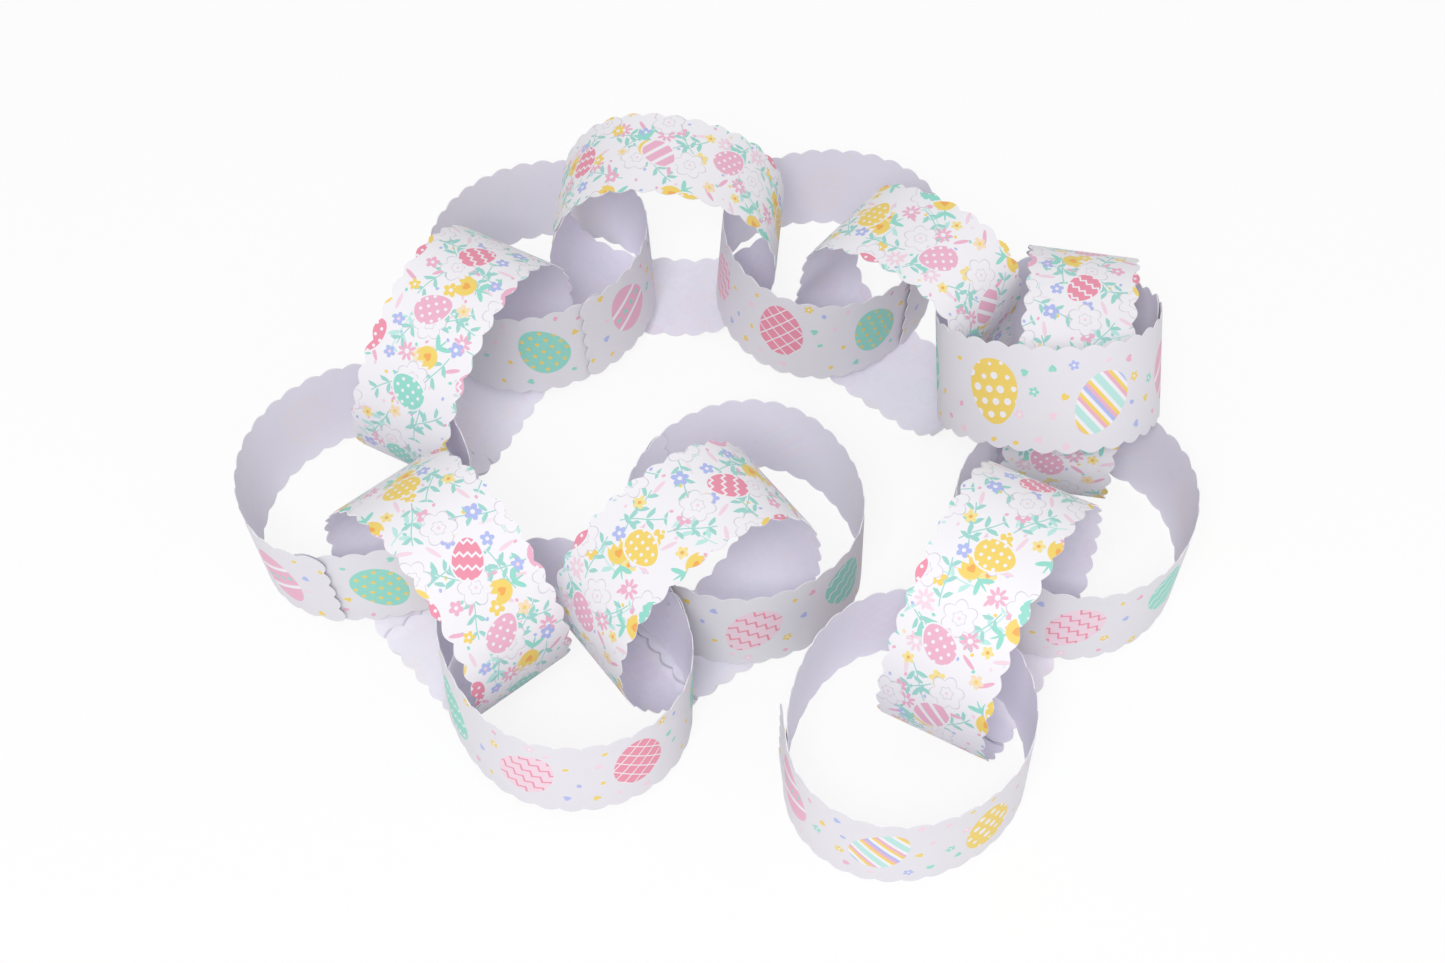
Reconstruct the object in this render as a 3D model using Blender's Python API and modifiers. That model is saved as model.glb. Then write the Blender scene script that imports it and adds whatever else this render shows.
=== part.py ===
"""Paper chain garland: scalloped card strips, each bent into a ring with its ends lapped,
threaded through one another and laid out on a table. Standing rings alternate with rings
that lie on their sides across them."""

import math
from collections import namedtuple

import bmesh
import bpy
import numpy as np
from mathutils import Matrix, Vector

# One strip of card, as cut, in metres
STRIP_LENGTH = 0.290
STRIP_WIDTH = 0.042
CARD_THICKNESS = 0.0003
SCALLOP_COUNT = 33
SCALLOP_HEIGHT = 0.0015
FACETS_PER_SCALLOP = 3

# The glued lap that closes a strip into a ring
LAP_LENGTH = 0.013
GLUE_GAP = 0.0003
LAP_RISE_SHARE = 0.15

# Clearance between a standing ring's edge and what it stands on
SEAT_GAP = 0.0003

# Points that an oval is measured along before the strip is laid round it
OVAL_POINTS = 720

RING_LENGTH = STRIP_LENGTH - LAP_LENGTH
RING_DIAMETER = RING_LENGTH / math.pi

EGG_PRINT = (0.90, 0.89, 0.92)
FLORAL_PRINT = (0.90, 0.84, 0.86)
CARD_ROUGHNESS = 0.6

# Where each ring lies. place is in ring diameters; heading is the way a lying ring's axis
# points, and lean how far an axis tips towards X and Y, in degrees. lift is in strip widths.
# foot is the flat pressed into a lying ring, in ring radii. oval lists what makes the ring
# other than round: lobes, share of the radius and direction in degrees. lap is where round
# the ring the outer end lies, turn is the way the strip runs to it, and flare is how far
# that end stands off, in strip widths.
Ring = namedtuple("Ring", "name heading place lean lift foot oval lap turn flare")
STANDING = None
RINGS = (
    Ring("link_01_egg_print", STANDING, (0.722, -1.436), (-0.5, -1.4), 0.014, 0.0,
         ((2, 0.057, 68), (3, 0.026, -17)), 176, -1, 0.06),
    Ring("link_02_floral_print", -30.3, (1.065, -0.987), (2.2, 0.0), 0.0, 0.037,
         ((2, 0.069, 37), (3, 0.039, -54), (4, 0.014, 33)), 250, 1, 0.0),
    Ring("link_03_egg_print", STANDING, (1.451, -0.445), (3.1, -0.4), 0.002, 0.0,
         ((2, 0.054, 42), (3, 0.017, 56)), 145, 1, 0.0),
    Ring("link_04_floral_print", -9.5, (1.495, 0.335), (-0.5, 0.0), 0.0, 0.058,
         ((2, 0.127, 6), (3, 0.075, -24), (4, 0.035, -37)), 290, 1, 0.0),
    Ring("link_05_egg_print", STANDING, (1.379, 0.242), (-3.7, 28.2), 0.215, 0.0,
         ((2, 0.082, -88), (3, 0.048, -35), (4, 0.024, 13)), 10, 1, 0.0),
    Ring("link_06_floral_print", 49.5, (0.802, 0.576), (2.6, 0.0), 0.0, 0.013,
         ((2, 0.099, -78), (3, 0.042, -11), (4, 0.072, -43)), 215, 1, 0.0),
    Ring("link_07_egg_print", STANDING, (0.474, 1.046), (3.7, 2.7), 0.017, 0.0,
         ((2, 0.055, 50), (3, 0.034, 24)), 317, -1, 0.02),
    Ring("link_08_floral_print", 84.5, (-0.254, 1.064), (1.5, 0.0), 0.0, 0.017,
         ((2, 0.025, -17), (3, 0.018, -57), (4, 0.017, -35)), 18, -1, 0.01),
    Ring("link_09_egg_print", STANDING, (-0.822, 0.970), (-3.1, 3.5), 0.0, 0.0,
         ((2, 0.050, 56), (3, 0.013, 11)), 295, -1, 0.01),
    Ring("link_10_floral_print", -27.3, (-1.109, 0.356), (-2.2, 0.0), 0.0, 0.02,
         ((2, 0.064, 6), (3, 0.042, -39)), 230, -1, 0.0),
    Ring("link_11_egg_print", STANDING, (-1.507, -0.285), (-5.7, 0.0), 0.012, 0.0,
         ((2, 0.037, -53), (3, 0.040, -31), (4, 0.016, -26)), 262, 1, 0.025),
    Ring("link_12_floral_print", 219.7, (-1.104, -0.853), (-1.4, 0.0), 0.0, 0.054,
         ((2, 0.018, 15), (3, 0.035, -31), (4, 0.014, 9)), 260, 1, 0.0),
    Ring("link_13_egg_print", STANDING, (-0.622, -1.144), (1.1, 1.7), 0.019, 0.0,
         ((2, 0.065, -43), (3, 0.018, 24), (4, 0.011, -29)), 15, -1, 0.0),
    Ring("link_14_floral_print", -54.0, (-0.127, -0.855), (0.0, 0.0), 0.0, 0.058,
         ((2, 0.026, 78), (3, 0.020, 58), (4, 0.011, -36)), 270, 1, 0.0),
    Ring("link_15_egg_print", STANDING, (0.094, -0.449), (-0.9, 1.0), 0.0, 0.0,
         ((2, 0.026, 75), (3, 0.013, -34), (4, 0.010, -13)), 150, 1, 0.0),
)


def remove_old_objects():
    """Empty the scene, so that the script can be run again."""
    for old in list(bpy.data.objects):
        bpy.data.objects.remove(old, do_unlink=True)


def card_material(name, colour):
    """Printed card as a plain surface of its mean colour."""
    material = bpy.data.materials.new(name)
    material.use_nodes = True
    shader = material.node_tree.nodes["Principled BSDF"]
    shader.inputs["Base Color"].default_value = (*colour, 1.0)
    shader.inputs["Roughness"].default_value = CARD_ROUGHNESS
    shader.inputs["Metallic"].default_value = 0.0
    material.diffuse_color = (*colour, 1.0)
    return material


def oval_path(ring):
    """Closed oval of one ring in its own plane: distance along it, and points by angle.

    The radius is 1 plus a cosine for each entry of ring.oval. A lying ring is then cut
    off flat at its foot, and the outline is scaled until its length is the ring's."""
    angle = np.linspace(0.0, 2.0 * np.pi, OVAL_POINTS + 1)
    radius = np.ones_like(angle)
    for lobes, share, direction in ring.oval:
        radius += share * np.cos(lobes * (angle - math.radians(direction)))
    across = radius * np.cos(angle)
    up = radius * np.sin(angle)
    up = np.maximum(up, up.min() + ring.foot)
    steps = np.hypot(np.diff(across), np.diff(up))
    along = np.concatenate(([0.0], np.cumsum(steps)))
    scale = RING_LENGTH / along[-1]
    turned = np.unwrap(np.arctan2(up, across))
    return along * scale, across * scale, up * scale, turned


def strip_offset(distance, flare):
    """How far the strip's middle lies outside the oval: nothing at first, one card and
    the glue gap where it laps its own beginning, and the flare at its outer end."""
    rise_length = LAP_RISE_SHARE * RING_LENGTH
    rise = np.clip((distance - RING_LENGTH + rise_length) / rise_length, 0.0, 1.0)
    lapped = (CARD_THICKNESS + GLUE_GAP) * rise * rise * (3.0 - 2.0 * rise)
    free = np.clip((distance - RING_LENGTH) / LAP_LENGTH, 0.0, 1.0)
    return lapped + flare * STRIP_WIDTH * free * free


def lay_round_oval(ring, distance):
    """Points of the strip's middle line in the ring's plane, for distances along the strip."""
    along, across, up, turned = oval_path(ring)
    lap_at = np.interp(math.radians(ring.lap), turned - turned[0], along, period=2.0 * np.pi)
    if ring.turn > 0:
        start = lap_at - STRIP_LENGTH
    else:
        start = lap_at + STRIP_LENGTH
    where = np.mod(start + ring.turn * distance, RING_LENGTH)
    step = RING_LENGTH / OVAL_POINTS
    ahead = np.mod(where + step, RING_LENGTH)
    behind = np.mod(where - step, RING_LENGTH)
    x = np.interp(where, along, across)
    y = np.interp(where, along, up)
    run_x = np.interp(ahead, along, across) - np.interp(behind, along, across)
    run_y = np.interp(ahead, along, up) - np.interp(behind, along, up)
    run = np.hypot(run_x, run_y)
    offset = strip_offset(distance, ring.flare)
    return x + offset * run_y / run, y - offset * run_x / run


def half_width(distance):
    """Half the strip's width at each distance: a row of round scallops on the long edge."""
    pitch = STRIP_LENGTH / SCALLOP_COUNT
    bulge = np.abs(np.sin(np.pi * distance / pitch))
    return STRIP_WIDTH / 2 - SCALLOP_HEIGHT + SCALLOP_HEIGHT * bulge


def strip_mesh(ring):
    """Open sheet of one strip: a flat grid, laid round the oval with its width along Z."""
    columns = SCALLOP_COUNT * FACETS_PER_SCALLOP
    sheet = bmesh.new()
    bmesh.ops.create_grid(sheet, x_segments=columns, y_segments=1, size=0.5)
    flat = np.array([corner.co[:] for corner in sheet.verts])
    distance = (flat[:, 0] + 0.5) * STRIP_LENGTH
    x, y = lay_round_oval(ring, distance)
    z = np.sign(flat[:, 1]) * half_width(distance)
    for corner, place in zip(sheet.verts, np.stack((x, y, z), axis=1)):
        corner.co = place
    if ring.turn > 0:
        bmesh.ops.reverse_faces(sheet, faces=sheet.faces)
    mesh = bpy.data.meshes.new(ring.name)
    sheet.to_mesh(mesh)
    sheet.free()
    mesh.shade_smooth()
    return mesh


def ring_turn(ring):
    """Rotation whose columns are the ring's two in-plane directions and its axis."""
    tip_x = math.tan(math.radians(ring.lean[0]))
    tip_y = math.tan(math.radians(ring.lean[1]))
    if ring.heading is STANDING:
        axis = Vector((tip_x, tip_y, 1.0)).normalized()
        across = Vector((1.0, 0.0, 0.0))
    else:
        heading = math.radians(ring.heading)
        axis = Vector((math.cos(heading), math.sin(heading), tip_x)).normalized()
        across = Vector((-math.sin(heading), math.cos(heading), 0.0))
    across = (across - across.dot(axis) * axis).normalized()
    up = axis.cross(across)
    return Matrix((across, up, axis)).transposed()


def seat_height(ring, mesh, turn):
    """Height of the ring's middle that puts its lowest point on its seat."""
    lowest = min((turn @ corner.co).z for corner in mesh.vertices)
    if ring.heading is STANDING:
        seat = CARD_THICKNESS + SEAT_GAP + ring.lift * STRIP_WIDTH
    else:
        seat = CARD_THICKNESS / 2
    return seat - lowest


def add_ring(ring, material, collection, layout):
    """One link of the chain, as a solid card strip standing or lying in its place."""
    mesh = strip_mesh(ring)
    mesh.materials.append(material)
    link = bpy.data.objects.new(ring.name, mesh)
    collection.objects.link(link)
    card = link.modifiers.new("Card", "SOLIDIFY")
    card.thickness = CARD_THICKNESS
    card.offset = 0.0
    card.use_even_offset = True
    turn = ring_turn(ring)
    place = Vector((*ring.place, 0.0)) * RING_DIAMETER
    place.z = seat_height(ring, mesh, turn)
    link.parent = layout
    link.matrix_local = Matrix.Translation(place) @ turn.to_4x4()
    return link


def centre_layout(links, layout):
    """Move the whole chain so that the middle of its outline is over the origin."""
    bpy.context.view_layer.update()
    corners = [link.matrix_world @ corner.co for link in links for corner in link.data.vertices]
    middle_x = (min(c.x for c in corners) + max(c.x for c in corners)) / 2
    middle_y = (min(c.y for c in corners) + max(c.y for c in corners)) / 2
    layout.location = (-middle_x, -middle_y, 0.0)
    bpy.context.view_layer.update()


def build_garland():
    """The whole chain, in one collection under one empty."""
    remove_old_objects()
    collection = bpy.data.collections.new("paper_chain_garland")
    bpy.context.scene.collection.children.link(collection)
    layout = bpy.data.objects.new("chain_layout", None)
    collection.objects.link(layout)
    egg_card = card_material("egg_print_card", EGG_PRINT)
    floral_card = card_material("floral_print_card", FLORAL_PRINT)
    links = []
    for ring in RINGS:
        material = egg_card if ring.heading is STANDING else floral_card
        links.append(add_ring(ring, material, collection, layout))
    centre_layout(links, layout)


build_garland()
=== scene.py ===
import math
from collections import namedtuple

import bpy
import numpy as np
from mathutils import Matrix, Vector


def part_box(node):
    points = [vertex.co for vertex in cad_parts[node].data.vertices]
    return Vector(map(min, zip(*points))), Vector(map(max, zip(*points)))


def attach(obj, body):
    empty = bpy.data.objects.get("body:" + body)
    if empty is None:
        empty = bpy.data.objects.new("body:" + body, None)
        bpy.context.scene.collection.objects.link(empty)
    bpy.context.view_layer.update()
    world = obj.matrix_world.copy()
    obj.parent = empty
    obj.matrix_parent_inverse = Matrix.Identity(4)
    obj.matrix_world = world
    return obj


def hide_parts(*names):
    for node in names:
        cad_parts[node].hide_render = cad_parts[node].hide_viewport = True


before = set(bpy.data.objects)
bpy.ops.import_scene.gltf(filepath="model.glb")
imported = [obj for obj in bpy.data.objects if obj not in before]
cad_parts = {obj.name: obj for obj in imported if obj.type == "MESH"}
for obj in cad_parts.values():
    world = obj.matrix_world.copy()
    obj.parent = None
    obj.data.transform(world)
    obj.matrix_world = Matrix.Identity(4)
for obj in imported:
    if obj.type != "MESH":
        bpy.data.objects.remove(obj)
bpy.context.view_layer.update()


# The egg-print rings: eight strips of matt white card, printed on the outside with one row of
# coloured eggs and small scattered shapes. Each is bent round into a ring, its outer end glued
# over its inner end, and stands on one scalloped edge.

STRIP_LENGTH = 0.290
STRIP_WIDTH = 0.0416
CARD_THICKNESS = 0.0003
LAP_LENGTH = 0.013
GLUE_GAP = 0.0003
# The share of the ring over which the strip rises on to its own beginning
LAP_RISE_SHARE = 0.15
# The strip's inner end curls away from the layer over it, by this much over this length
END_CURL = 0.0004
END_CURL_LENGTH = 0.003
RING_LENGTH = STRIP_LENGTH - LAP_LENGTH
RING_DIAMETER = RING_LENGTH / math.pi

# The scallops of the long edges and of the strip's two ends
EDGE_SCALLOPS = 33
END_SCALLOPS = 5
SCALLOP_HEIGHT = 0.00175
STEPS_PER_SCALLOP = 12
STEPS_ACROSS = 20
OVAL_POINTS = 720
SHARP_EDGE = math.radians(40.0)

# Where the middle of the layout lies in the garland's own frame
LAYOUT_MIDDLE = (0.00262, 0.01802)

# heading is the way a lying ring's axis points, in degrees; place is in ring diameters; lean
# tips the axis, in degrees; foot flattens a lying ring's underside, in ring radii; oval is the
# radius's cosines (lobes, share, direction); lap is where the strip's outer end lies; turn is 1
# where the strip runs anticlockwise; flare lifts the outer end, in strip widths.
Ring = namedtuple("Ring", "heading place lean foot oval lap turn flare")
STANDING = None
EGG_RINGS = {
    "link_01_egg_print": Ring(STANDING, (0.722, -1.436), (-0.5, -1.4), 0.0,
                              ((2, 0.057, 68), (3, 0.026, -17)), 176, -1, 0.06),
    "link_03_egg_print": Ring(STANDING, (1.451, -0.445), (3.1, -0.4), 0.0,
                              ((2, 0.054, 42), (3, 0.017, 56)), 145, 1, 0.0),
    "link_05_egg_print": Ring(STANDING, (1.379, 0.242), (-3.7, 28.2), 0.0,
                              ((2, 0.082, -88), (3, 0.048, -35), (4, 0.024, 13)), 10, 1, 0.0),
    "link_07_egg_print": Ring(STANDING, (0.474, 1.046), (3.7, 2.7), 0.0,
                              ((2, 0.055, 50), (3, 0.034, 24)), 317, -1, 0.02),
    "link_09_egg_print": Ring(STANDING, (-0.822, 0.970), (-3.1, 3.5), 0.0,
                              ((2, 0.050, 56), (3, 0.013, 11)), 295, -1, 0.01),
    "link_11_egg_print": Ring(STANDING, (-1.507, -0.285), (-5.7, 0.0), 0.0,
                              ((2, 0.037, -53), (3, 0.040, -31), (4, 0.016, -26)), 262, 1, 0.025),
    "link_13_egg_print": Ring(STANDING, (-0.622, -1.144), (1.1, 1.7), 0.0,
                              ((2, 0.065, -43), (3, 0.018, 24), (4, 0.011, -29)), 15, -1, 0.0),
    "link_15_egg_print": Ring(STANDING, (0.094, -0.449), (-0.9, 1.0), 0.0,
                              ((2, 0.026, 75), (3, 0.013, -34), (4, 0.010, -13)), 150, 1, 0.0),
}


def oval_path(ring):
    """Closed oval of a ring in its own plane: length along it, its points, and their angles.

    The radius is 1 plus the ring's cosines. A lying ring is cut off flat at its foot, and the
    outline is scaled until its length is RING_LENGTH."""
    angle = np.linspace(0.0, 2.0 * np.pi, OVAL_POINTS + 1)
    radius = np.ones_like(angle)
    for lobes, share, direction in ring.oval:
        radius += share * np.cos(lobes * (angle - math.radians(direction)))
    across, up = radius * np.cos(angle), radius * np.sin(angle)
    up = np.maximum(up, up.min() + ring.foot)
    along = np.concatenate(([0.0], np.cumsum(np.hypot(np.diff(across), np.diff(up)))))
    scale = RING_LENGTH / along[-1]
    return along * scale, across * scale, up * scale, np.unwrap(np.arctan2(up, across))


def scallop(share, count):
    """Row of round bumps, 0 in the notches and 1 on the crowns: the size of a sine."""
    return np.abs(np.sin(np.pi * count * share))


def strip_grid(steps_long, steps_wide):
    """Flat strip: the distance from its inner end and the place across it, both as grids.

    The long edges and both ends are drawn in to SCALLOP_HEIGHT at the notches."""
    share = np.linspace(0.0, 1.0, steps_long + 1)[:, None]
    side = np.linspace(-1.0, 1.0, steps_wide + 1)[None, :]
    notch = SCALLOP_HEIGHT * (1.0 - scallop((side + 1.0) / 2.0, END_SCALLOPS))
    distance = notch + share * (STRIP_LENGTH - 2.0 * notch)
    bump = scallop(share, EDGE_SCALLOPS)
    across = side * (STRIP_WIDTH / 2.0 - SCALLOP_HEIGHT * (1.0 - bump))
    return distance, across + 0.0 * distance


def ring_axes(ring):
    """The ring's two in-plane directions and its axis, as unit vectors."""
    tip_x, tip_y = (math.tan(math.radians(lean)) for lean in ring.lean)
    if ring.heading is STANDING:
        axis = np.array((tip_x, tip_y, 1.0))
        flat = np.array((1.0, 0.0, 0.0))
    else:
        heading = math.radians(ring.heading)
        axis = np.array((math.cos(heading), math.sin(heading), tip_x))
        flat = np.array((-math.sin(heading), math.cos(heading), 0.0))
    axis /= np.linalg.norm(axis)
    flat -= flat.dot(axis) * axis
    flat /= np.linalg.norm(flat)
    return flat, np.cross(axis, flat), axis


def bend_strip(ring, distance, across):
    """Middle surface of a bent strip and its outward direction, about the ring's middle.

    Each point goes as far along the oval as the strip's distance says, out by the rise of the
    lap and the flare of the outer end, in by the curl of the inner end, and along the ring's
    axis by its place across."""
    along, path_x, path_y, turned = oval_path(ring)
    lap_at = np.interp(math.radians(ring.lap), turned - turned[0], along, period=2.0 * np.pi)
    where = np.mod(lap_at + ring.turn * (distance - STRIP_LENGTH), RING_LENGTH)
    step = RING_LENGTH / OVAL_POINTS
    ahead, behind = np.mod(where + step, RING_LENGTH), np.mod(where - step, RING_LENGTH)
    run_x = np.interp(ahead, along, path_x) - np.interp(behind, along, path_x)
    run_y = np.interp(ahead, along, path_y) - np.interp(behind, along, path_y)
    run = np.hypot(run_x, run_y)
    out_x, out_y = run_y / run, -run_x / run
    rise_length = LAP_RISE_SHARE * RING_LENGTH
    rise = np.clip((distance - RING_LENGTH + rise_length) / rise_length, 0.0, 1.0)
    free = np.clip((distance - RING_LENGTH) / LAP_LENGTH, 0.0, 1.0)
    offset = (CARD_THICKNESS + GLUE_GAP) * rise * rise * (3.0 - 2.0 * rise)
    curl = np.clip(1.0 - distance / END_CURL_LENGTH, 0.0, 1.0)
    offset = offset + ring.flare * STRIP_WIDTH * free * free - END_CURL * curl * curl
    x = np.interp(where, along, path_x) + offset * out_x
    y = np.interp(where, along, path_y) + offset * out_y
    flat, up, axis = ring_axes(ring)
    middle = x[..., None] * flat + y[..., None] * up + across[..., None] * axis
    return middle, out_x[..., None] * flat + out_y[..., None] * up


def card_ring(name, ring, outside, inside, cut_edge):
    """One closed card strip: two skins half a thickness either side of the middle surface.

    The skins share a rim of narrow faces round all four edges. The map has the share of the
    strip's length from its outer end and the share of its width."""
    distance, across = strip_grid(EDGE_SCALLOPS * STEPS_PER_SCALLOP, STEPS_ACROSS)
    middle, outward = bend_strip(ring, distance, across)
    skins = np.concatenate((middle + outward * CARD_THICKNESS / 2.0,
                            middle - outward * CARD_THICKNESS / 2.0)).reshape(-1, 3)
    skins[:, 0] += ring.place[0] * RING_DIAMETER + LAYOUT_MIDDLE[0]
    skins[:, 1] += ring.place[1] * RING_DIAMETER + LAYOUT_MIDDLE[1]
    skins[:, 2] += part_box(name)[0].z - skins[:, 2].min()

    rows, columns = distance.shape
    index = np.arange(rows * columns).reshape(rows, columns)
    under = index + rows * columns
    outer = np.stack((index[:-1, :-1], index[1:, :-1], index[1:, 1:], index[:-1, 1:]), axis=-1)
    inner = outer[..., ::-1] + rows * columns
    round_edge = np.concatenate((index[:-1, 0], index[-1, :-1], index[:0:-1, -1], index[0, :0:-1]))
    next_edge = np.roll(round_edge, -1)
    rim = np.stack((next_edge, round_edge, round_edge + rows * columns,
                    next_edge + rows * columns), axis=-1)
    faces = np.concatenate((outer.reshape(-1, 4), inner.reshape(-1, 4), rim))
    if ring.turn > 0:
        faces = faces[:, ::-1]

    mesh = bpy.data.meshes.new(name + "_card")
    mesh.from_pydata(skins, [], faces)
    flat_map = np.stack((1.0 - distance / STRIP_LENGTH,
                         0.5 - ring.turn * across / STRIP_WIDTH), axis=-1).reshape(-1, 2)
    flat_map = np.concatenate((flat_map, flat_map))
    strip_map = mesh.uv_layers.new(name="strip")
    strip_map.data.foreach_set("uv", flat_map[faces.ravel()].astype(np.float32).ravel())
    for material in (outside, inside, cut_edge):
        mesh.materials.append(material)
    slots = np.repeat((0, 1, 2), (outer.size // 4, inner.size // 4, len(rim)))
    mesh.polygons.foreach_set("material_index", slots.astype(np.int32))
    mesh.shade_smooth()
    mesh.set_sharp_from_angle(angle=SHARP_EDGE)
    mesh.update()
    piece = bpy.data.objects.new(name + "_card", mesh)
    bpy.context.scene.collection.objects.link(piece)
    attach(piece, "root")
    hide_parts(name)
    return piece


# Width of the soft edge of a printed shape, and of one that is as good as sharp
SOFT = 0.12
SHARP = 0.001


class Ink:
    """One value in a node tree, with arithmetic that adds Math nodes."""

    def __init__(self, tree, socket):
        self.tree = tree
        self.socket = socket

    def _math(self, operation, *values):
        node = self.tree.nodes.new("ShaderNodeMath")
        node.operation = operation
        for slot, value in zip(node.inputs, (self,) + values):
            if isinstance(value, Ink):
                self.tree.links.new(value.socket, slot)
            else:
                slot.default_value = value
        return Ink(self.tree, node.outputs[0])

    def __add__(self, other):
        return self._math("ADD", other)

    def __sub__(self, other):
        return self._math("SUBTRACT", other)

    def __mul__(self, other):
        return self._math("MULTIPLY", other)

    def __truediv__(self, other):
        return self._math("DIVIDE", other)

    def size(self):
        return self._math("ABSOLUTE")

    def floor(self):
        return self._math("FLOOR")

    def sine(self):
        return self._math("SINE")

    def cosine(self):
        return self._math("COSINE")

    def root(self):
        return self._math("SQRT")

    def angle_from(self, other):
        return self._math("ARCTAN2", other)

    def modulo(self, other):
        return self._math("FLOORED_MODULO", other)

    def pingpong(self, other):
        return self._math("PINGPONG", other)

    def opposite(self):
        return self * -1.0 + 1.0

    def larger(self, other):
        return self._math("MAXIMUM", other)

    def below(self, edge, soft=SOFT):
        """1 where the value is under edge, 0 over it, with a soft step of that width."""
        node = self.tree.nodes.new("ShaderNodeMapRange")
        low = self - edge
        self.tree.links.new(low.socket, node.inputs["Value"])
        node.inputs["From Min"].default_value = -soft / 2.0
        node.inputs["From Max"].default_value = soft / 2.0
        node.inputs["To Min"].default_value = 1.0
        node.inputs["To Max"].default_value = 0.0
        return Ink(self.tree, node.outputs["Result"])

    def above(self, edge):
        """1 where the value is over edge, 0 under it."""
        return self._math("GREATER_THAN", edge)

    def line(self, half_width, soft=SOFT):
        """1 where the value is nearer to zero than half_width."""
        return self.size().below(half_width, soft)

    def repeat(self, pitch):
        """Distance from the middle of its own stretch of a row: the remainder less half."""
        return self.modulo(pitch) - pitch * 0.5


def new_group(name, inputs, outputs):
    """Node group with inputs and outputs of those names; returns it, its inputs and its sink."""
    group = bpy.data.node_groups.new(name, "ShaderNodeTree")
    for label, value in inputs.items():
        socket = group.interface.new_socket(label, in_out="INPUT", socket_type="NodeSocketFloat")
        socket.default_value = value
    for label, kind in outputs.items():
        group.interface.new_socket(label, in_out="OUTPUT", socket_type=kind)
    source = group.nodes.new("NodeGroupInput")
    sink = group.nodes.new("NodeGroupOutput")
    return group, {label: Ink(group, source.outputs[label]) for label in inputs}, sink


def put_group(tree, group, **values):
    """Places a group in a tree, sets its inputs by name, and returns its outputs by name."""
    node = tree.nodes.new("ShaderNodeGroup")
    node.node_tree = group
    for label, value in values.items():
        slot = node.inputs[label.replace("_", " ")]
        if isinstance(value, Ink):
            tree.links.new(value.socket, slot)
        else:
            slot.default_value = value
    return {output.name: Ink(tree, output) for output in node.outputs}


FLOAT, COLOUR = "NodeSocketFloat", "NodeSocketColor"

# The most that a motif is turned, in radians
WHOLE_TURN = 6.28
# How far a set's seed shifts its rows and its columns of cells, in cells
ROW_SHIFT = 0.37
COLUMN_SHIFT = 0.61
# What the tint takes of a cell's pick and of its shift, so that it follows neither
TINT_OF_PICK = 17.0
TINT_OF_SHIFT = 5.0


def motif_place_group():
    """Splits a strip into cells and gives the place in a motif that is set in each cell.

    The cell's row and column seed a noise, which shifts the motif from the cell's middle by
    up to Stray of the cell and turns it by up to Spin."""
    group, value, sink = new_group("motif_place", {
        "Along": 0.0, "Across": 0.0, "Cell Length": 10.0, "Cell Width": 10.0,
        "Stray": 0.5, "Spin": WHOLE_TURN, "Seed": 0.0,
    }, {"X": FLOAT, "Y": FLOAT, "Pick": FLOAT, "Tint": FLOAT, "Middle Along": FLOAT,
        "Middle Across": FLOAT})
    row = (value["Across"] / value["Cell Width"] + value["Seed"] * ROW_SHIFT).floor()
    stagger = row.modulo(2.0) * 0.5 + value["Seed"] * COLUMN_SHIFT
    column = (value["Along"] / value["Cell Length"] + stagger).floor()
    pair = group.nodes.new("ShaderNodeCombineXYZ")
    group.links.new(column.socket, pair.inputs["X"])
    group.links.new(row.socket, pair.inputs["Y"])
    group.links.new(value["Seed"].socket, pair.inputs["Z"])
    noise = group.nodes.new("ShaderNodeTexWhiteNoise")
    noise.noise_dimensions = "3D"
    group.links.new(pair.outputs[0], noise.inputs["Vector"])
    three = group.nodes.new("ShaderNodeSeparateColor")
    group.links.new(noise.outputs["Color"], three.inputs[0])
    shift_x, shift_y, spin = (Ink(group, output) for output in three.outputs)
    middle_x = (column - stagger + 0.5 + (shift_x - 0.5) * value["Stray"]) * value["Cell Length"]
    middle_y = row - value["Seed"] * ROW_SHIFT + 0.5 + (shift_y - 0.5) * value["Stray"]
    middle_y = middle_y * value["Cell Width"]
    angle = (spin - 0.5) * value["Spin"]
    x, y = value["Along"] - middle_x, value["Across"] - middle_y
    picked = Ink(group, noise.outputs["Value"])
    results = {
        "X": x * angle.cosine() + y * angle.sine(),
        "Y": y * angle.cosine() - x * angle.sine(),
        "Pick": picked,
        "Tint": (picked * TINT_OF_PICK + shift_x * TINT_OF_SHIFT).modulo(1.0),
        "Middle Along": middle_x,
        "Middle Across": middle_y,
    }
    for label, result in results.items():
        group.links.new(result.socket, sink.inputs[label])
    return group


# Radius of a flower's eye, in flower radii
EYE_SHARE = 0.26


def flower_group():
    """Flower with round petals: the outline swings between Waist and all of Radius.

    It follows the cosine of half the petal count times the angle, without its sign."""
    group, value, sink = new_group("flower_shape", {
        "X": 0.0, "Y": 0.0, "Radius": 2.0, "Petals": 5.0, "Waist": 0.5,
    }, {"Mask": FLOAT, "Eye": FLOAT})
    radius = (value["X"] * value["X"] + value["Y"] * value["Y"]).root()
    swing = (value["Y"].angle_from(value["X"]) * value["Petals"] * 0.5).cosine().size()
    outline = value["Radius"] * (swing - swing * value["Waist"] + value["Waist"])
    group.links.new(radius.below(outline).socket, sink.inputs["Mask"])
    group.links.new(radius.below(value["Radius"] * EYE_SHARE).socket, sink.inputs["Eye"])
    return group


# A sprig's stem: half its width, its wave's height, and the wave's turn for each millimetre
STEM_HALF_WIDTH = 0.22
STEM_WAVE = 0.35
STEM_TURN = 0.35
# Its leaves, in leaf lengths: their spacing, how far out they are set, and their half sizes
LEAF_SPACING = 1.25
LEAF_SET_OUT = 0.62
LEAF_HALF_LONG = 0.52
LEAF_HALF_WIDE = 0.17
LEAF_LEAN = math.radians(48.0)
LEAF_EDGE = 0.2


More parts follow.
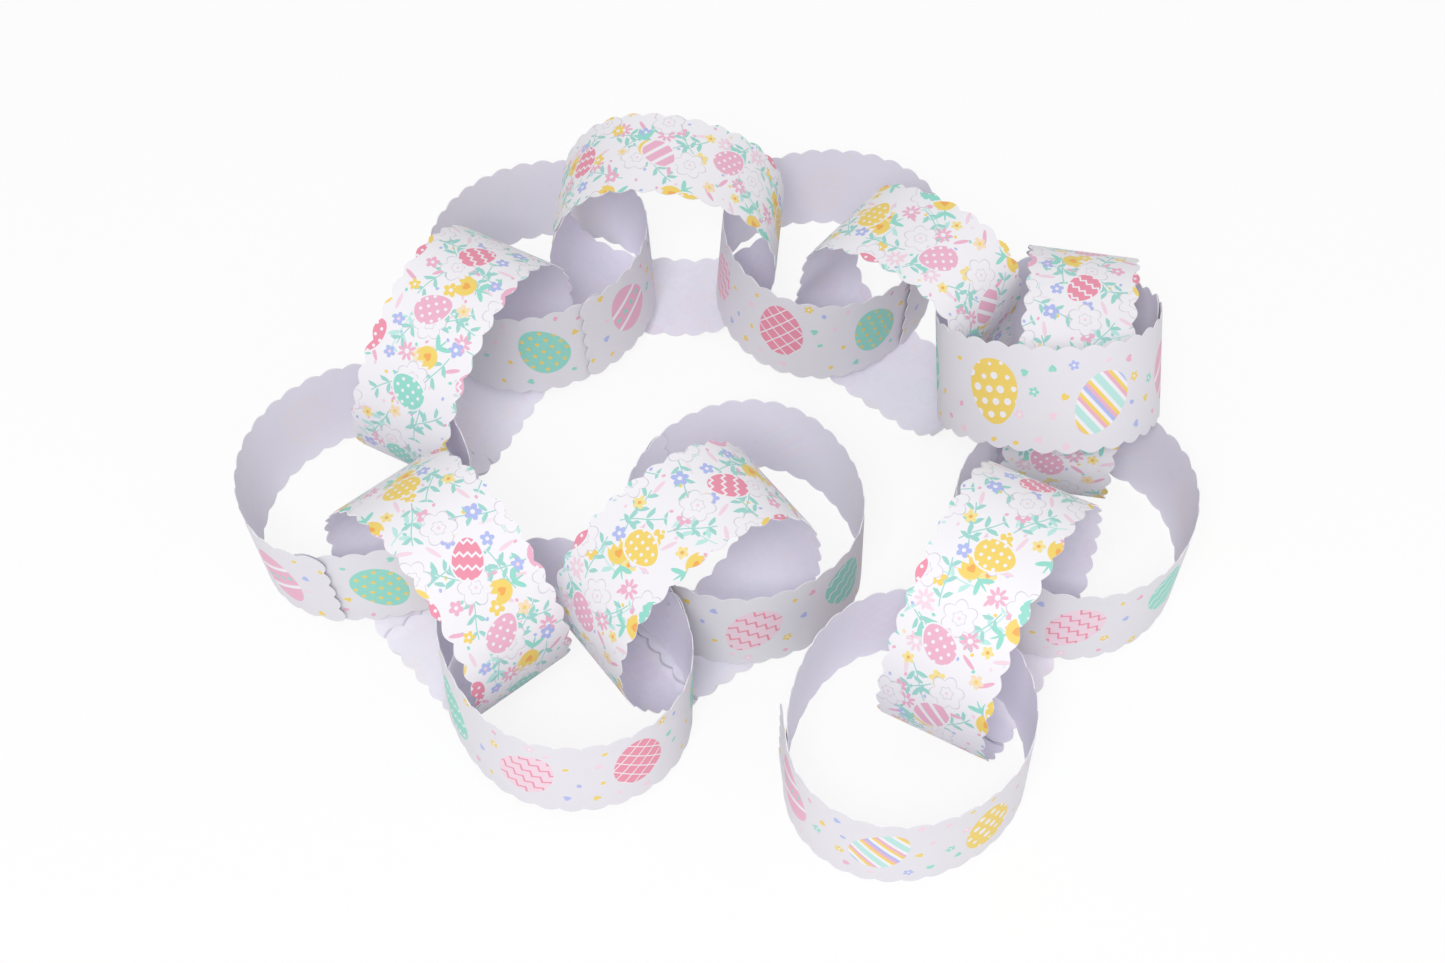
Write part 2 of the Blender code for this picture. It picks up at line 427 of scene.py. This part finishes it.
def sprig_group():
    """Stem along X with pairs of leaves: ellipses set back from the stem at a slant."""
    group, value, sink = new_group("sprig_shape", {
        "X": 0.0, "Y": 0.0, "Length": 12.0, "Leaf": 3.0,
    }, {"Mask": FLOAT})
    half = value["Length"] * 0.5
    inside = value["X"].line(half)
    stem = (value["Y"] + (value["X"] * STEM_TURN).sine() * STEM_WAVE).line(STEM_HALF_WIDTH)
    x = (value["X"] + half).repeat(value["Leaf"] * LEAF_SPACING)
    y = value["Y"].size()
    reach = x * math.cos(LEAF_LEAN) + y * math.sin(LEAF_LEAN) - value["Leaf"] * LEAF_SET_OUT
    beside = y * math.cos(LEAF_LEAN) - x * math.sin(LEAF_LEAN)
    reach = reach / (value["Leaf"] * LEAF_HALF_LONG)
    beside = beside / (value["Leaf"] * LEAF_HALF_WIDE)
    leaf = (reach * reach + beside * beside).below(1.0, LEAF_EDGE)
    mask = leaf.larger(stem) * inside
    group.links.new(mask.socket, sink.inputs["Mask"])
    return group


# How far an egg narrows towards its top, and the soft edge of its outline, in half lengths
EGG_TAPER = 0.16
EGG_EDGE = 0.02


def egg_group():
    """Egg along Y: an ellipse whose width falls towards its top, with its place inside."""
    group, value, sink = new_group("egg_shape", {
        "X": 0.0, "Y": 0.0, "Length": 26.0, "Width": 19.0, "Margin": 0.0,
    }, {"Mask": FLOAT, "X": FLOAT, "Y": FLOAT})
    y = value["Y"] / (value["Length"] * 0.5 + value["Margin"])
    x = value["X"] / (value["Width"] * 0.5 + value["Margin"])
    narrow = x / (y * -EGG_TAPER + 1.0)
    radius = (narrow * narrow + y * y).root()
    group.links.new(radius.below(1.0, EGG_EDGE).socket, sink.inputs["Mask"])
    group.links.new(x.socket, sink.inputs["X"])
    group.links.new(y.socket, sink.inputs["Y"])
    return group


def oval_group():
    """Ellipse about a point, with its long side along X; Mask is 1 inside it."""
    group, value, sink = new_group("oval_shape", {
        "X": 0.0, "Y": 0.0, "Long": 2.0, "Short": 1.0,
    }, {"Mask": FLOAT})
    x, y = value["X"] / value["Long"], value["Y"] / value["Short"]
    group.links.new((x * x + y * y).root().below(1.0).socket, sink.inputs["Mask"])
    return group


# How much a heart is squashed in height, and how far its lobes are raised, in radii
HEART_SQUASH = 1.15
HEART_LOBES = 0.8


def heart_group():
    """Heart, point down: a circle whose middle rises with the root of the distance aside."""
    group, value, sink = new_group("heart_shape", {"X": 0.0, "Y": 0.0, "Radius": 1.6},
                                   {"Mask": FLOAT})
    x, y = value["X"] / value["Radius"], value["Y"] / value["Radius"]
    raised = y * HEART_SQUASH - x.size().root() * HEART_LOBES
    group.links.new((x * x + raised * raised).root().below(1.0).socket, sink.inputs["Mask"])
    return group


MOTIF_PLACE = motif_place_group()
FLOWER = flower_group()
SPRIG = sprig_group()
EGG = egg_group()
OVAL = oval_group()
HEART = heart_group()

WHITE = (0.87, 0.855, 0.89)
# The egg strips' white ground: the card's white darkened as painted shade, because the standing egg
# rings' walls take less light
SHADED_EGG_WHITE = (0.77, 0.755, 0.80)
FAINT_LINE = (0.66, 0.62, 0.70)
TEAL = (0.30, 0.70, 0.60)
PALE_TEAL = (0.50, 0.78, 0.74)
LEAF_TEAL = (0.34, 0.66, 0.61)
ROSE = (0.83, 0.29, 0.40)
PINK = (0.83, 0.45, 0.59)
PALE_PINK = (0.87, 0.66, 0.75)
YELLOW = (0.88, 0.65, 0.15)
PALE_YELLOW = (0.89, 0.74, 0.30)
PERIWINKLE = (0.44, 0.50, 0.84)
PEACH = (0.90, 0.72, 0.50)
ORANGE = (0.88, 0.42, 0.10)


def paint(tree, under, over, mask, blend="MIX"):
    """Lays one colour over another, by a mask or by one share for all of it.

    A Mix node has its share at input 0 and its two colours at 6 and 7."""
    node = tree.nodes.new("ShaderNodeMix")
    node.data_type = "RGBA"
    node.blend_type = blend
    if isinstance(mask, Ink):
        tree.links.new(mask.socket, node.inputs[0])
    else:
        node.inputs[0].default_value = mask
    for slot, colour in ((node.inputs[6], under), (node.inputs[7], over)):
        if isinstance(colour, tuple):
            slot.default_value = colour + (1.0,)
        else:
            tree.links.new(colour, slot)
    return node.outputs[2]


def pick_colour(tree, choice, colours):
    """One of the colours for each equal share of choice from 0 to 1."""
    node = tree.nodes.new("ShaderNodeValToRGB")
    ramp = node.color_ramp
    ramp.interpolation = "CONSTANT"
    while len(ramp.elements) < len(colours):
        ramp.elements.new(0.5)
    for place, colour in enumerate(colours):
        ramp.elements[place].position = place / len(colours)
        ramp.elements[place].color = colour + (1.0,)
    tree.links.new(choice.socket, node.inputs[0])
    return node.outputs[0]


MILLIMETRES = 1000.0


def strip_place(tree):
    """Millimetres along the strip from its outer end and across it from its middle."""
    source = tree.nodes.new("ShaderNodeUVMap")
    source.uv_map = "strip"
    parts = tree.nodes.new("ShaderNodeSeparateXYZ")
    tree.links.new(source.outputs[0], parts.inputs[0])
    along = Ink(tree, parts.outputs["X"]) * (STRIP_LENGTH * MILLIMETRES)
    across = (Ink(tree, parts.outputs["Y"]) - 0.5) * (STRIP_WIDTH * MILLIMETRES)
    return along, across


# All sizes of the prints are in millimetres. Along the strip, the first egg lies this far from
# its outer end, and the others follow at one pitch.
FIRST_EGG = 24.0
EGG_PITCH = 39.5
EGG_LONG = 25.5
EGG_WIDE = 18.5
EGG_TRIMS = 7
# Eggs tilt by up to EGG_TILT radians and stray by up to EGG_STRAY, as sines of their number
EGG_TILT = 0.6
EGG_STRAY = 2.6
# Strewn shapes stay this far off the eggs, and this near to the middle of the strip
EGG_MARGIN = 2.6
STREWN_REACH = 17.8
# The cells that hold a dot, a heart and a flower, by their pick from 0 to 1; the rest are bare
DOT_BELOW = 0.42
HEART_BELOW = 0.74
FLOWER_ABOVE = 0.84


def egg_trim(tree, x, y, which):
    """Colour inside an egg, from its number on the strip: each egg has its own plain trim."""
    def only(number, mask=1.0):
        return (which - number).line(0.5, 0.1) * mask

    colour = pick_colour(tree, (which + 0.5) / EGG_TRIMS,
                         (PINK, WHITE, YELLOW, TEAL, PALE_PINK, ROSE, TEAL))
    # Pink: two white bands with teal dots between them
    colour = paint(tree, colour, WHITE, only(0, (y.size() - 4.6).line(0.9)))
    dot = put_group(tree, OVAL, X=x.repeat(4.4), Y=y, Long=1.1, Short=1.1)["Mask"]
    colour = paint(tree, colour, TEAL, only(0, dot))
    # White: slanting stripes, ten to each 14 mm
    stripes = pick_colour(tree, ((y + x * 0.35) / 14.0 + 0.5).modulo(1.0),
                          (PALE_TEAL, PALE_TEAL, WHITE, YELLOW, PINK, PERIWINKLE, WHITE, YELLOW,
                           PINK, WHITE))
    colour = paint(tree, colour, stripes, only(1))
    # Yellow: white spots of two sizes
    spots = put_group(tree, MOTIF_PLACE, Along=x, Across=y, Cell_Length=4.6, Cell_Width=4.8,
                      Stray=0.25, Spin=0.0, Seed=2.0)
    spot = (spots["X"] * spots["X"] + spots["Y"] * spots["Y"]).root()
    colour = paint(tree, colour, WHITE, only(2, spot.below(spots["Pick"] * 0.9 + 0.6)))
    # Teal: scalloped white lines
    bump = (x * 0.75).sine().size() * 1.7
    colour = paint(tree, colour, WHITE, only(3, (y + bump).repeat(6.2).line(0.45)))
    # Pale pink: rose zigzags
    zigzag = x.pingpong(2.1) * 1.15 + y
    colour = paint(tree, colour, ROSE, only(4, zigzag.repeat(5.6).line(0.6)))
    # Rose: crossing white lines
    lattice = (x + y).repeat(6.4).line(0.36).larger((x - y).repeat(6.4).line(0.36))
    colour = paint(tree, colour, WHITE, only(5, lattice))
    # Teal: yellow dots in rows
    dot = put_group(tree, OVAL, X=(x + 2.0).repeat(4.0), Y=(y + 2.3).repeat(4.6),
                    Long=0.85, Short=0.85)["Mask"]
    return paint(tree, colour, YELLOW, only(6, dot))


def egg_print_group():
    """Print of the egg strips, by place on the strip in millimetres.

    One egg to each pitch, each with its own tilt. Dots, hearts and small flowers are strewn
    between, and left out where they would meet an egg."""
    group, value, sink = new_group("egg_print", {"Along": 0.0, "Across": 0.0}, {"Color": COLOUR})

    def egg_at(along, across, margin):
        which = ((along - FIRST_EGG) / EGG_PITCH + 0.5).floor()
        tilt = (which * 2.1 + 2.2).sine() * EGG_TILT
        x = along - which * EGG_PITCH - FIRST_EGG
        y = across - (which * 1.3 + 1.0).sine() * EGG_STRAY
        turned = put_group(group, EGG, X=x * tilt.cosine() + y * tilt.sine(),
                           Y=y * tilt.cosine() - x * tilt.sine(), Length=EGG_LONG,
                           Width=EGG_WIDE, Margin=margin)
        return which, turned

    which, egg = egg_at(value["Along"], value["Across"], 0.0)
    trim = egg_trim(group, egg["X"] * (EGG_WIDE / 2.0), egg["Y"] * (EGG_LONG / 2.0),
                    which.modulo(EGG_TRIMS))
    # The eggs lie on the egg strips' white ground, which is darkened as painted shade
    colour = paint(group, SHADED_EGG_WHITE, trim, egg["Mask"])

    strewn = put_group(group, MOTIF_PLACE, Along=value["Along"], Across=value["Across"],
                       Cell_Length=9.6, Cell_Width=9.4, Stray=0.5, Spin=WHOLE_TURN, Seed=5.0)
    x, y, pick = strewn["X"], strewn["Y"], strewn["Pick"]
    dot = put_group(group, OVAL, X=x, Y=y, Long=1.15, Short=0.85)["Mask"]
    heart = put_group(group, HEART, X=x, Y=y, Radius=1.45)["Mask"]
    bloom = put_group(group, FLOWER, X=x, Y=y, Radius=2.0, Petals=5.0, Waist=0.5)
    shape = dot * pick.below(DOT_BELOW, SHARP)
    shape = shape.larger(heart * pick.above(DOT_BELOW) * pick.below(HEART_BELOW, SHARP))
    shape = shape.larger(bloom["Mask"] * pick.above(FLOWER_ABOVE))
    tint = pick_colour(group, strewn["Tint"], (PINK, YELLOW, TEAL, PERIWINKLE, PALE_PINK, YELLOW))
    _, near_egg = egg_at(strewn["Middle Along"], strewn["Middle Across"], EGG_MARGIN)
    free = near_egg["Mask"].opposite() * strewn["Middle Across"].line(STREWN_REACH, SHARP)
    colour = paint(group, colour, tint, shape * free)
    colour = paint(group, colour, WHITE, bloom["Eye"] * pick.above(FLOWER_ABOVE) * free)
    group.links.new(colour, sink.inputs["Color"])
    return group


def card_grain_group():
    """Fine tooth of card, and a faint cloudiness of its tone, from Object coordinates."""
    group, value, sink = new_group("card_grain", {"Tooth": 1800.0, "Cloud": 40.0},
                                   {"Height": FLOAT, "Tone": FLOAT})
    place = group.nodes.new("ShaderNodeTexCoord")
    results = []
    for scale, detail in ((value["Tooth"], 4.0), (value["Cloud"], 3.0)):
        noise = group.nodes.new("ShaderNodeTexNoise")
        noise.inputs["Detail"].default_value = detail
        group.links.new(place.outputs["Object"], noise.inputs["Vector"])
        group.links.new(scale.socket, noise.inputs["Scale"])
        results.append(noise.outputs["Fac"])
    group.links.new(results[0], sink.inputs["Height"])
    group.links.new(results[1], sink.inputs["Tone"])
    return group


CARD_GRAIN = card_grain_group()
EGG_PRINT = egg_print_group()


GRAIN_DEPTH = 0.00004
# The darker and the lighter tone between which the grain clouds print, inside and cut edge
PRINT_TONES = (0.97, 0.97, 0.98), (1.0, 1.0, 1.0)
INSIDE_TONES = (0.87, 0.845, 0.945), (0.89, 0.865, 0.96)
CUT_TONES = (0.82, 0.81, 0.85), (0.88, 0.87, 0.90)
PLAIN_ROUGHNESS = 0.62
CUT_ROUGHNESS = 0.8
PLAIN_GRAIN = 0.25
# The line of shade inside a lap: its colour, half its width and its soft edge, in millimetres
SEAM_SHADE = (0.56, 0.53, 0.64)
SEAM_HALF_WIDTH = 0.45
SEAM_SOFT = 0.7


def card_material(name, roughness, bump):
    """Card finish with the grain's bump; returns it, its shader and the grain's tone."""
    material = bpy.data.materials.new(name)
    material.use_nodes = True
    tree = material.node_tree
    shader = tree.nodes["Principled BSDF"]
    shader.inputs["Roughness"].default_value = roughness
    grain = put_group(tree, CARD_GRAIN)
    relief = tree.nodes.new("ShaderNodeBump")
    relief.inputs["Strength"].default_value = bump
    relief.inputs["Distance"].default_value = GRAIN_DEPTH
    tree.links.new(grain["Height"].socket, relief.inputs["Height"])
    tree.links.new(relief.outputs[0], shader.inputs["Normal"])
    return material, shader, grain["Tone"]


def printed_side(name, print_group, roughness, bump):
    """The printed face of a card: its print by place on the strip, clouded by the grain."""
    material, shader, tone = card_material(name, roughness, bump)
    tree = material.node_tree
    along, across = strip_place(tree)
    printed = put_group(tree, print_group, Along=along, Across=across)["Color"]
    cloud = paint(tree, *PRINT_TONES, tone)
    clouded = paint(tree, printed.socket, cloud, 1.0, "MULTIPLY")
    tree.links.new(clouded, shader.inputs["Base Color"])
    return material


def plain_side(name, print_group, show_through, seam):
    """The unprinted face: lavender white, with the print showing faintly through the card.

    Where the strip's inner end lies on it, a line of shade follows the end's scallops."""
    material, shader, tone = card_material(name, PLAIN_ROUGHNESS, PLAIN_GRAIN)
    tree = material.node_tree
    along, across = strip_place(tree)
    printed = put_group(tree, print_group, Along=along, Across=across)["Color"]
    plain = paint(tree, *INSIDE_TONES, tone)
    share = across / (STRIP_WIDTH * MILLIMETRES) + 0.5
    crown = (share * (math.pi * END_SCALLOPS)).sine().size()
    end = crown.opposite() * (-SCALLOP_HEIGHT * MILLIMETRES) + LAP_LENGTH * MILLIMETRES
    shade = (along - end).line(SEAM_HALF_WIDTH, SEAM_SOFT) * seam
    plain = paint(tree, plain, SEAM_SHADE, shade)
    plain = paint(tree, plain, printed.socket, show_through)
    tree.links.new(plain, shader.inputs["Base Color"])
    return material


def cut_card(name):
    """The cut edge of a card: its white core."""
    material, shader, tone = card_material(name, CUT_ROUGHNESS, PLAIN_GRAIN)
    tree = material.node_tree
    tree.links.new(paint(tree, *CUT_TONES, tone), shader.inputs["Base Color"])
    return material


egg_outside = printed_side("egg_print_outside", EGG_PRINT, roughness=0.55, bump=0.3)
egg_inside = plain_side("egg_print_inside", EGG_PRINT, show_through=0.05, seam=0.15)
card_edge = cut_card("card_cut_edge")
for name, ring in EGG_RINGS.items():
    piece = card_ring(name, ring, egg_outside, egg_inside, card_edge)


# The floral rings: seven strips of satin white card, printed all over the outside with sprigs,
# flowers, small eggs and dots. Each is threaded through two egg-print rings before its ends are
# glued, and lies on its side across them, flattened a little where it bears on the table.

FLORAL_RINGS = {
    "link_02_floral_print": Ring(-30.3, (1.065, -0.987), (2.2, 0.0), 0.037,
                                 ((2, 0.069, 37), (3, 0.039, -54), (4, 0.014, 33)), 250, 1, 0.0),
    "link_04_floral_print": Ring(-9.5, (1.495, 0.335), (-0.5, 0.0), 0.058,
                                 ((2, 0.127, 6), (3, 0.075, -24), (4, 0.035, -37)), 290, 1, 0.0),
    "link_06_floral_print": Ring(49.5, (0.802, 0.576), (2.6, 0.0), 0.013,
                                 ((2, 0.099, -78), (3, 0.042, -11), (4, 0.072, -43)), 215, 1, 0.0),
    "link_08_floral_print": Ring(84.5, (-0.254, 1.064), (1.5, 0.0), 0.017,
                                 ((2, 0.025, -17), (3, 0.018, -57), (4, 0.017, -35)), 18, -1, 0.01),
    "link_10_floral_print": Ring(-27.3, (-1.109, 0.356), (-2.2, 0.0), 0.020,
                                 ((2, 0.064, 6), (3, 0.042, -39)), 230, -1, 0.0),
    "link_12_floral_print": Ring(219.7, (-1.104, -0.853), (-1.4, 0.0), 0.054,
                                 ((2, 0.018, 15), (3, 0.035, -31), (4, 0.014, 9)), 260, 1, 0.0),
    "link_14_floral_print": Ring(-54.0, (-0.127, -0.855), (0.0, 0.0), 0.058,
                                 ((2, 0.026, 78), (3, 0.020, 58), (4, 0.011, -36)), 270, 1, 0.0),
}


# The slow noise that leaves parts of the print bare changes over these lengths
BARE_LONG = 15.0
BARE_WIDE = 13.0
# The small eggs, and the white edge round them
SMALL_EGG_LONG = 14.5
SMALL_EGG_WIDE = 10.8
SMALL_EGG_MARGIN = 0.6


def floral_print_group():
    """Print of the floral strips, by place on the strip in millimetres.

    Sets of cells lie over one another, each with its own motif, cell size and colours: dots,
    petals, sprigs, daisies, small flowers, white blossoms, tulips and eggs. A slow noise leaves
    parts bare."""
    group, value, sink = new_group("floral_print", {"Along": 0.0, "Across": 0.0},
                                   {"Color": COLOUR})

    def strew(length, width, stray, seed, bare):
        cell = put_group(group, MOTIF_PLACE, Along=value["Along"], Across=value["Across"],
                         Cell_Length=length, Cell_Width=width, Stray=stray, Spin=WHOLE_TURN,
                         Seed=seed)
        place = group.nodes.new("ShaderNodeCombineXYZ")
        group.links.new((cell["Middle Along"] / BARE_LONG).socket, place.inputs["X"])
        group.links.new((cell["Middle Across"] / BARE_WIDE).socket, place.inputs["Y"])
        slow = group.nodes.new("ShaderNodeTexNoise")
        slow.inputs["Scale"].default_value = 1.0
        slow.inputs["Detail"].default_value = 0.0
        group.links.new(place.outputs[0], slow.inputs["Vector"])
        return cell, Ink(group, slow.outputs["Fac"]).above(bare)

    dots, shown = strew(length=5.6, width=5.4, stray=0.7, seed=11.0, bare=0.38)
    spot = put_group(group, OVAL, X=dots["X"], Y=dots["Y"], Long=0.75, Short=0.55)["Mask"]
    colour = paint(group, WHITE, pick_colour(group, dots["Tint"], (
        PINK, YELLOW, PERIWINKLE, TEAL, PALE_PINK)), spot * dots["Pick"].below(0.62) * shown)

    petals, shown = strew(length=11.0, width=10.0, stray=0.35, seed=6.0, bare=0.36)
    petal = put_group(group, OVAL, X=petals["X"], Y=petals["Y"], Long=3.1, Short=0.75)["Mask"]
    colour = paint(group, colour, pick_colour(group, petals["Tint"], (PALE_PINK, PINK)),
                   petal * petals["Pick"].below(0.5) * shown)

    for seed, leaf_length, tints in ((3.0, 5.0, (LEAF_TEAL, PALE_TEAL)),
                                      (8.0, 4.4, (LEAF_TEAL, LEAF_TEAL))):
        sprigs, shown = strew(length=20.0, width=17.5, stray=0.12, seed=seed, bare=0.38)
        leaves = put_group(group, SPRIG, X=sprigs["X"], Y=sprigs["Y"], Length=17.0,
                           Leaf=leaf_length)["Mask"]
        colour = paint(group, colour, pick_colour(group, sprigs["Tint"], tints), leaves * shown)

    daisies, shown = strew(length=19.0, width=17.0, stray=0.4, seed=13.0, bare=0.45)
    daisy = put_group(group, FLOWER, X=daisies["X"], Y=daisies["Y"], Radius=3.7, Petals=8.0,
                      Waist=0.3)
    shown = shown * daisies["Pick"].below(0.8, SHARP)
    colour = paint(group, colour, pick_colour(group, daisies["Tint"], (PINK, PALE_PINK)),
                   daisy["Mask"] * shown)
    colour = paint(group, colour, WHITE, daisy["Eye"] * shown)

    blooms, shown = strew(length=13.0, width=12.0, stray=0.45, seed=7.0, bare=0.39)
    bloom = put_group(group, FLOWER, X=blooms["X"], Y=blooms["Y"],
                      Radius=blooms["Pick"] * 1.3 + 2.1, Petals=5.0, Waist=0.55)
    shown = shown * blooms["Pick"].below(0.85, SHARP)
    colour = paint(group, colour, pick_colour(group, blooms["Tint"], (
        PINK, PALE_YELLOW, PERIWINKLE, PEACH, YELLOW, PERIWINKLE)), bloom["Mask"] * shown)
    colour = paint(group, colour, pick_colour(group, blooms["Tint"], (
        WHITE, ORANGE, WHITE, YELLOW, WHITE, PALE_PINK)), bloom["Eye"] * shown)

    blossoms, _ = strew(length=24.0, width=20.0, stray=0.3, seed=15.0, bare=0.0)
    shown = blossoms["Pick"].below(0.7, SHARP)
    for radius, tint in ((6.6, FAINT_LINE), (6.2, WHITE), (2.6, FAINT_LINE), (2.3, WHITE)):
        blossom = put_group(group, FLOWER, X=blossoms["X"], Y=blossoms["Y"], Radius=radius,
                            Petals=6.0, Waist=0.7)
        colour = paint(group, colour, tint, blossom["Mask"] * shown)
    colour = paint(group, colour, PALE_PINK, blossom["Eye"] * shown)

    tulips, shown = strew(length=31.0, width=25.0, stray=0.2, seed=9.0, bare=0.42)
    x, y = tulips["X"], tulips["Y"]
    bowl = put_group(group, OVAL, X=x, Y=y, Long=4.3, Short=4.6)["Mask"]
    lips = (y - x.pingpong(1.5) * 1.4).below(1.1)
    stem = put_group(group, OVAL, X=x, Y=y + 6.5, Long=0.4, Short=3.6)["Mask"]
    blade = put_group(group, OVAL, X=x.size() * 0.6 + y * 0.8 + 4.6,
                      Y=x.size() * 0.8 - y * 0.6 - 5.6, Long=0.9, Short=2.9)["Mask"]
    colour = paint(group, colour, TEAL, stem.larger(blade) * shown)
    colour = paint(group, colour, YELLOW, bowl * lips * shown)
    heart = put_group(group, HEART, X=x, Y=y + 1.4, Radius=1.5)["Mask"]
    colour = paint(group, colour, ORANGE, heart * shown)

    eggs, _ = strew(length=33.0, width=25.0, stray=0.28, seed=4.0, bare=0.0)
    x, y = eggs["X"], eggs["Y"]
    clear, egg = (put_group(group, EGG, X=x, Y=y, Length=SMALL_EGG_LONG, Width=SMALL_EGG_WIDE,
                            Margin=margin)["Mask"] for margin in (SMALL_EGG_MARGIN, 0.0))
    skin = pick_colour(group, eggs["Tint"], (ROSE, PINK, YELLOW, ROSE, TEAL, PINK))
    fleck = put_group(group, OVAL, X=x.repeat(3.0), Y=y.repeat(3.0), Long=0.62,
                      Short=0.62)["Mask"]
    band = y.repeat(4.8).line(0.75)
    wave = (x.pingpong(1.4) + y).repeat(4.4).line(0.5)
    pick = eggs["Pick"]
    trim = fleck * pick.below(0.5, SHARP)
    trim = trim.larger(band * pick.above(0.5) * pick.below(0.74, SHARP))
    trim = trim.larger(wave * pick.above(0.74))
    colour = paint(group, colour, WHITE, clear)
    colour = paint(group, colour, paint(group, skin, WHITE, trim), egg)
    group.links.new(colour, sink.inputs["Color"])
    return group


FLORAL_PRINT = floral_print_group()
floral_outside = printed_side("floral_print_outside", FLORAL_PRINT, roughness=0.42, bump=0.25)
floral_inside = plain_side("floral_print_inside", FLORAL_PRINT, show_through=0.06, seam=0.8)
for name, ring in FLORAL_RINGS.items():
    piece = card_ring(name, ring, floral_outside, floral_inside, card_edge)


# The table that the garland lies on: a plain white surface, far wider than the view, that
# takes only a soft shadow. White light comes from all round, and from soft lamps by the camera,
# overhead and at the right.

TABLE_REACH = 3.0
# How far the camera sees the table as plain white, which leaves the rest for its shadow
TABLE_WHITE = 0.85
TABLE_PAINT = (0.93, 0.93, 0.93, 1.0)
TABLE_ROUGHNESS = 0.9
PLAIN_WHITE = (1.0, 1.0, 1.0, 1.0)

table_mesh = bpy.data.meshes.new("table")
table_mesh.from_pydata([(-TABLE_REACH, -TABLE_REACH, 0.0), (TABLE_REACH, -TABLE_REACH, 0.0),
                        (TABLE_REACH, TABLE_REACH, 0.0), (-TABLE_REACH, TABLE_REACH, 0.0)],
                       [], [(0, 1, 2, 3)])
table = bpy.data.objects.new("table", table_mesh)
bpy.context.scene.collection.objects.link(table)


def table_white():
    """White paint that the camera sees partly as plain white, so that its shadow is faint."""
    material = bpy.data.materials.new("table_white")
    material.use_nodes = True
    tree = material.node_tree
    paint_shader = tree.nodes["Principled BSDF"]
    paint_shader.inputs["Base Color"].default_value = TABLE_PAINT
    paint_shader.inputs["Roughness"].default_value = TABLE_ROUGHNESS
    white = tree.nodes.new("ShaderNodeEmission")
    white.inputs["Color"].default_value = PLAIN_WHITE
    seen = tree.nodes.new("ShaderNodeLightPath")
    share = Ink(tree, seen.outputs["Is Camera Ray"]) * TABLE_WHITE
    blend = tree.nodes.new("ShaderNodeMixShader")
    tree.links.new(share.socket, blend.inputs[0])
    tree.links.new(paint_shader.outputs[0], blend.inputs[1])
    tree.links.new(white.outputs[0], blend.inputs[2])
    tree.links.new(blend.outputs[0], tree.nodes["Material Output"].inputs["Surface"])
    return material


table_mesh.materials.append(table_white())

# The world lights the garland at this strength, and the camera sees it as plain white
WORLD_LIGHT = 0.60
world = bpy.data.worlds.new("studio")
world.use_nodes = True
bpy.context.scene.world = world
studio = world.node_tree
background = studio.nodes["Background"]
background.inputs["Color"].default_value = PLAIN_WHITE
camera_ray = Ink(studio, studio.nodes.new("ShaderNodeLightPath").outputs["Is Camera Ray"])
strength = camera_ray * (1.0 - WORLD_LIGHT) + WORLD_LIGHT
studio.links.new(strength.socket, background.inputs["Strength"])


def soft_light(name, place, aim, width, power):
    """Square area light of that width in metres and power in watts, facing a point."""
    light = bpy.data.lights.new(name, "AREA")
    light.size = width
    light.energy = power
    lamp = bpy.data.objects.new(name, light)
    bpy.context.scene.collection.objects.link(lamp)
    lamp.location = place
    direction = Vector(aim) - Vector(place)
    lamp.rotation_euler = direction.to_track_quat("-Z", "Y").to_euler()


soft_light("overhead_light", (0.2, 0.5, 1.6), aim=(0.0, 0.0, 0.0), width=1.4, power=1.0)
soft_light("front_light", (-0.20, -0.95, 1.27), aim=(0.0, 0.0, 0.05), width=0.5, power=11.0)
soft_light("side_light", (1.3, -0.6, 1.1), aim=(0.0, 0.0, 0.05), width=1.2, power=2.0)

# The camera: pitch, distance and focal length come from one fit to the rims of all the rings
CAMERA_PITCH = math.radians(53.143)
CAMERA_DISTANCE = 0.8588
FOCAL_PIXELS = 2219.1
IMAGE_WIDTH = 1445
SENSOR_WIDTH = 36.0
camera = bpy.data.cameras.new("camera")
camera.sensor_width = SENSOR_WIDTH
camera.lens = SENSOR_WIDTH * FOCAL_PIXELS / IMAGE_WIDTH
viewer = bpy.data.objects.new("camera", camera)
bpy.context.scene.collection.objects.link(viewer)
viewer.location = (LAYOUT_MIDDLE[0],
                   LAYOUT_MIDDLE[1] - CAMERA_DISTANCE * math.cos(CAMERA_PITCH),
                   CAMERA_DISTANCE * math.sin(CAMERA_PITCH))
viewer.rotation_euler = (math.pi / 2.0 - CAMERA_PITCH, 0.0, 0.0)
bpy.context.scene.camera = viewer
bpy.context.scene.view_settings.view_transform = "Standard"
